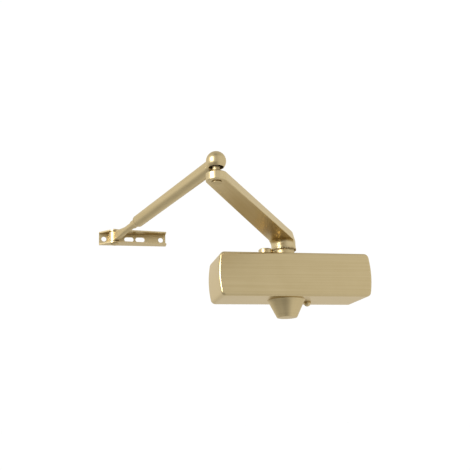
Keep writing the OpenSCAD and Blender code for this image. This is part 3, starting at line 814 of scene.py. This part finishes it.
def make_forearm_tube():
    """Drawn tube with a groove rolled in near its end."""
    start, end, radius = along_forearm("forearm_tube")
    bore = radius - 1.5
    groove, groove_r = end - 2.6, radius - 0.7
    profile = rounded(
        [(bore, start), (radius, start), (radius, groove - 0.8), (groove_r, groove - 0.5),
         (groove_r, groove + 0.5), (radius, groove + 0.8), (radius, end), (bore, end)],
        {0: 0.3, 1: 0.1, 6: 0.8, 7: 0.3}, closed=True, steps=5)
    tube = lathe("forearm_tube_drawn", profile, FOREARM, closed=True)
    stand_in(tube, "forearm_tube", tube_gold)


def set_screw_place():
    """Place on the forearm's axis at the set screw, with Z out towards the screw."""
    low, high = box_mm("set_screw")
    local = FOREARM.inverted() @ ((low + high) / 2)
    outward = Vector((local.x, local.y, 0)).normalized()
    turn = outward.to_track_quat("Z", "Y").to_matrix().to_4x4()
    return FOREARM @ Matrix.Translation((0, 0, local.z)) @ turn


def make_tube_ferrule():
    """Plug in the tube's end; its nose narrows and has a hole for the set screw."""
    start, end, radius = along_forearm("tube_ferrule")
    tube_end, tube_r = along_forearm("forearm_tube")[1:]
    plug_r, bore, nose_r, screw_r = tube_r - 1.52, 4.45, 5.6, 1.7
    face, taper_end = tube_end + 0.02, tube_end + 6
    profile = rounded(
        [(bore, start), (plug_r, start), (plug_r, face), (radius, face), (nose_r, taper_end),
         (nose_r, end), (bore, end)],
        {0: 0.4, 1: 0.6, 3: 0.25, 4: 4.0, 5: 0.8, 6: 0.3}, closed=True, steps=5)
    hole = [(0, 3), (screw_r, 3), (screw_r, nose_r - 0.35), (screw_r + 0.5, nose_r + 0.15),
            (screw_r + 0.5, 12), (0, 12)]
    ferrule = lathe("tube_ferrule_turned", profile, FOREARM, closed=True)
    combine(ferrule, "DIFFERENCE", lathe("screw_hole", hole, set_screw_place(), steps=32))
    stand_in(ferrule, "tube_ferrule", rod_gold)


def lug_ring(distance, half_w, low, high, squareness, count=64):
    """One section of the rod's lug: an oval that grows boxy towards the eye."""
    middle, half_h = (low + high) / 2, (high - low) / 2
    ring = []
    for i in range(count):
        angle = math.tau * i / count
        c, s = math.cos(angle), math.sin(angle)
        x = half_w * math.copysign(abs(c) ** (2 / squareness), c)
        y = middle + half_h * math.copysign(abs(s) ** (2 / squareness), s)
        ring.append(FOREARM @ Vector((x, y, distance)))
    return ring


def rod_rings(start, eye_along):
    """Sections of the rod: round in the tube, then flattened into a lug before the eye."""
    rod_r, tip = 4.4, 0.8
    lug_low, lug_high = -5.3, 8.2
    lug_start, lug_length = eye_along - 46, 41
    rings = [lug_ring(start, rod_r - tip, tip - rod_r, rod_r - tip, 2),
             lug_ring(start + tip, rod_r, -rod_r, rod_r, 2)]
    for t in spread(0, 1, 14):
        ease = t * t * (3 - 2 * t)
        rings.append(lug_ring(
            lug_start + lug_length * t, rod_r - 0.5 * ease, -rod_r + (lug_low + rod_r) * ease,
            rod_r + (lug_high - rod_r) * ease, 2 + 3.5 * ease))
    return rings


def make_adjusting_rod():
    """Forged rod with an upright eye for the foot's pin."""
    eye_r, bore = 8.2, 5.26
    low, high = [corner.z for corner in box_mm("eye_bush")]
    eye = rounded([(0, low), (eye_r, low), (eye_r, high), (0, high)], {1: 0.9, 2: 0.9}, steps=5)
    eye_along = (FOREARM.inverted() @ FOOT_PIN).z
    rod = skin("adjusting_rod_forged", rod_rings(along_forearm("adjusting_rod")[0], eye_along))
    hole = open_peg(bore, low, high, BELOW_ARM, ABOVE_ALL)
    combine(rod, "UNION", lathe("eye", eye, FOOT_PLACE))
    combine(rod, "DIFFERENCE", lathe("eye_hole", hole, FOOT_PLACE))
    stand_in(rod, "adjusting_rod", rod_gold)


# ---------- foot ----------

FOOT_SHEET = 2.0  # thickness of the pressed metal
FOOT_BEND = 2.6
EAR_R = 9.3  # the flanges round the pin


def touch_point(point, centre, radius, sign):
    """Where a line from point touches a circle, on the side given by sign."""
    away = Vector(point) - Vector(centre)
    angle = math.atan2(away.y, away.x) + sign * math.acos(radius / away.length)
    return Vector(centre) + Vector((math.cos(angle), math.sin(angle))) * radius


def foot_outline(low, high):
    """Plan of the flanges: shallow at both ends and deepest round the pin."""
    left_deep, right_deep, behind = 5, 14, 1
    left_front, right_front = (low.x, -left_deep), (high.x, -right_deep)
    first = touch_point(left_front, FOOT_PIN.xy, EAR_R, 1) - FOOT_PIN.xy
    last = touch_point(right_front, FOOT_PIN.xy, EAR_R, -1) - FOOT_PIN.xy
    start, stop = [math.degrees(math.atan2(p.y, p.x)) % 360 for p in (first, last)]
    ear = [tuple(p) for p in arc(FOOT_PIN.xy, EAR_R, start, stop, 24)]
    corners = [(high.x, behind), (low.x, behind), left_front] + ear + [right_front]
    return rounded(corners, {2: 1.5, len(corners) - 1: 1.5}, closed=True)


def foot_channel(low, high):
    """Long channel of bent sheet that the foot is cut from, open towards the pin."""
    top, bottom, deep = high.z, low.z, low.y - 5
    inner_top, inner_bottom = top - FOOT_SHEET, bottom + FOOT_SHEET
    inner_bend = FOOT_BEND - FOOT_SHEET
    section = rounded(
        [(0, bottom), (0, top), (deep, top), (deep, inner_top), (-FOOT_SHEET, inner_top),
         (-FOOT_SHEET, inner_bottom), (deep, inner_bottom), (deep, bottom)],
        {0: FOOT_BEND, 1: FOOT_BEND, 4: inner_bend, 5: inner_bend}, closed=True)
    rings = [[Vector((x, p.x, p.y)) for p in section] for x in (low.x - 5, high.x + 5)]
    return skin("foot_bracket_pressed", rings)


def foot_cutters(middle):
    """Two round holes, two slots and the pin's hole."""
    hole_r, hole_from_middle = 3.6, 41
    slot_r, slot_half, slot_from_middle, slot_shift = 3.5, 3.2, 8, 3
    pin_r = 4
    slot = arc((slot_half, 0), slot_r, -90, 90, 16) + arc((-slot_half, 0), slot_r, 90, 270, 16)
    into_door = Matrix.Rotation(math.radians(90), 4, "X")
    cutters = []
    for side in (-1, 1):
        hole_x, slot_x = middle.x + side * hole_from_middle, middle.x + slot_shift + side * slot_from_middle
        place = Matrix.Translation((hole_x, 0, middle.z)) @ into_door
        cutters.append(lathe("hole", peg(hole_r, -3, 6), place, steps=48))
        place = Matrix.Translation((slot_x, 0, middle.z)) @ into_door
        cutters.append(prism("slot", slot, -3, 6, place))
    cutters.append(lathe("pin_hole", peg(pin_r, BELOW_ARM, ABOVE_ALL), FOOT_PLACE))
    return cutters


def make_foot_bracket():
    """Pressed channel with bent flanges, two round holes and two slots."""
    low, high = box_mm("foot_bracket")
    foot = foot_channel(low, high)
    combine(foot, "INTERSECT", prism("plan", foot_outline(low, high), low.z - 5, high.z + 5))
    combine(foot, "DIFFERENCE", *foot_cutters((low + high) / 2))
    stand_in(soften(foot, 0.25), "foot_bracket", foot_gold)


def make_foot_pin():
    """Pin with a rounded rivet head at both ends."""
    low, high = box_mm("foot_pin")
    pin_r, head_r, tip_r, head_h = 3.99, 6.2, 4.0, 2.0
    lower = [(0, low.z), (tip_r, low.z), (head_r, low.z + head_h), (pin_r, low.z + head_h)]
    upper = [(pin_r, high.z - head_h), (head_r, high.z - head_h), (tip_r, high.z), (0, high.z)]
    profile = rounded(lower + upper, {1: 1.4, 2: 0.3, 5: 0.3, 6: 1.4}, steps=6)
    pin = lathe("foot_pin_riveted", profile, FOOT_PLACE)
    stand_in(pin, "foot_pin", foot_pin_gold)


# ---------- closing spring ----------

def make_closing_spring():
    """Round-wire spring along the cylinder bore, attached to no body."""
    low, high = box_mm("closing_spring")
    wire = 2.1
    mean_r = (high.z - low.z) / 2 - wire
    turns, steps, sides = 4.25, 48, 20
    count = int(turns * steps)
    along = Vector((1, 0, 0))
    rings = []
    for i, x in enumerate(spread(low.x + wire, high.x - wire, count + 1)):
        angle = math.tau * i / steps
        outward = Vector((0, math.cos(angle), math.sin(angle)))
        centre = Vector((x, PINION.y, 0)) + outward * mean_r
        turned = [math.tau * k / sides for k in range(sides)]
        rings.append([centre + wire * (along * math.sin(a) + outward * math.cos(a)) for a in turned])
    spring = skin("closing_spring_wound", rings)
    stand_in(spring, "closing_spring", spring_steel, rides=False)
    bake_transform(spring)


# ---------- materials of the CAD nodes that stay ----------

KEPT = {
    cast_iron: ["body_casting"],
    bore_steel: ["left_end_plug", "right_end_plug", "piston", "spring_seat", "power_screw",
                 "check_ball", "check_ball_retainer"],
    shaft_steel: ["pinion", "upper_bearing_nut", "lower_bearing_nut", "arm_washer", "arm_screw"],
    stud_steel: ["cap_nut_stud"],
    bronze: ["upper_bush", "lower_bush", "eye_bush"],
    valve_bronze: ["sweep_valve", "latch_valve", "backcheck_valve"],
    rubber: ["end_plug_seals", "shaft_seals", "piston_ring"],
    dark_steel: ["set_screw", "socket_ring"],
    socket_plastic: ["elbow_socket"],
}


def paint_kept_nodes():
    """Gives the CAD nodes that stay their materials."""
    for material, nodes in KEPT.items():
        for node in nodes:
            mesh = frame["nodes"][node].data
            mesh.materials.clear()
            mesh.materials.append(material)


# ---------- floor, light and camera ----------

def make_floor():
    """Wide pale floor below the object, which the object's metal doesn't mirror."""
    half_size, height, thick = 40000, -520, 10
    top = [Vector((x, y, height)) for x, y in rectangle(half_size, half_size)]
    floor = skin("floor", [top, [corner - Vector((0, 0, thick)) for corner in top]])
    pale = bpy.data.materials.new("pale_floor")
    pale.use_nodes = True
    shader = pale.node_tree.nodes["Principled BSDF"]
    shader.inputs["Base Color"].default_value = (0.93, 0.93, 0.92, 1)
    shader.inputs["Roughness"].default_value = 0.9
    shader.inputs["Emission Color"].default_value = (1, 1, 1, 1)
    shader.inputs["Emission Strength"].default_value = 0.24  # lifts the floor to the room's white
    floor.data.materials.append(pale)
    floor.visible_glossy = False
    floor.visible_diffuse = False


def make_key_light():
    """Tall softbox to the left, a little in front and above; lengths in millimetres."""
    place, aim = Vector((-1500, -1050, 420)), Vector((-80, -120, 20))
    lamp = bpy.data.lights.new("key", "AREA")
    lamp.shape = "RECTANGLE"
    lamp.size = 420 * MM
    lamp.size_y = 900 * MM
    lamp.energy = 30
    holder = bpy.data.objects.new("key", lamp)
    holder.location = place * MM
    holder.rotation_euler = (aim - place).to_track_quat("-Z", "Y").to_euler()
    bpy.context.scene.collection.objects.link(holder)


DARK_SIDE = Vector((-0.31, -0.95)).normalized()  # level direction in front of the cover
SEEN_WHITE = 1.02  # the room's brightness where the camera looks at it


def room_level(tree):
    """The room's brightness: less in front, overhead and below, and least below on the left."""
    calc = partial(math_node, tree)
    place = tree.nodes.new("ShaderNodeTexCoord")
    parts = tree.nodes.new("ShaderNodeSeparateXYZ")
    tree.links.new(place.outputs["Generated"], parts.inputs[0])
    across, along, up = parts.outputs

    level = calc("SQRT", calc("ADD", calc("MULTIPLY", across, across), calc("MULTIPLY", along, along)))
    facing = calc("ADD", calc("MULTIPLY", across, DARK_SIDE.x), calc("MULTIPLY", along, DARK_SIDE.y))
    front = map_range(tree, calc("DIVIDE", facing, level), 0.70, 0.985, 0.0, 0.28, "SMOOTHSTEP")
    above = map_range(tree, up, 0.5, 0.92, 0.0, 0.25, "SMOOTHSTEP")
    leftwards = calc("MAXIMUM", calc("SUBTRACT", 0.24, calc("MULTIPLY", across, 0.42)), 0.02)
    below = calc("MULTIPLY", map_range(tree, up, -0.05, -0.6, 0.0, 1.0, "SMOOTHSTEP"), leftwards)
    return calc("SUBTRACT", 1.0, calc("ADD", calc("ADD", front, above), below))


def make_world():
    """White room, shaded by direction for what the object mirrors and plain white to the camera."""
    world = bpy.data.worlds.new("studio")
    bpy.context.scene.world = world
    world.use_nodes = True
    tree = world.node_tree
    background = tree.nodes["Background"]
    background.inputs["Color"].default_value = (1, 1, 1, 1)
    seen = tree.nodes.new("ShaderNodeLightPath")
    brightness = tree.nodes.new("ShaderNodeMix")
    tree.links.new(seen.outputs["Is Camera Ray"], brightness.inputs["Factor"])
    tree.links.new(room_level(tree), brightness.inputs[2])
    brightness.inputs[3].default_value = SEEN_WHITE
    tree.links.new(brightness.outputs[0], background.inputs["Strength"])


def make_camera():
    """Camera low in front and to the left, looking slightly up."""
    place = Vector((-309.5, -979.24, -196.78))
    pitch, yaw, roll = -0.202, 0.19, -0.027
    camera = bpy.data.cameras.new("camera")
    camera.sensor_width = 36
    camera.lens = 53.38
    camera.shift_x = 0.0709
    camera.shift_y = 0.0921
    camera.clip_start = 0.01
    right, forward, up = (
        Matrix.Rotation(roll, 3, "Y") @ Matrix.Rotation(pitch, 3, "X") @ Matrix.Rotation(yaw, 3, "Z"))
    axes = Matrix((right, up, -forward)).transposed().to_4x4()
    axes.translation = place * MM
    holder = bpy.data.objects.new("camera", camera)
    holder.matrix_world = axes
    bpy.context.scene.collection.objects.link(holder)
    bpy.context.scene.camera = holder


make_cover()
make_pinion_cap()
make_cap_nut()
make_cover_screw()
make_main_arm()
make_index_collar()
make_elbow_stud()
make_ball_housing()
make_forearm_tube()
make_tube_ferrule()
make_adjusting_rod()
make_foot_bracket()
make_foot_pin()
make_closing_spring()
paint_kept_nodes()
make_floor()
make_world()
make_key_light()
make_camera()
bpy.context.scene.view_settings.view_transform = "Standard"
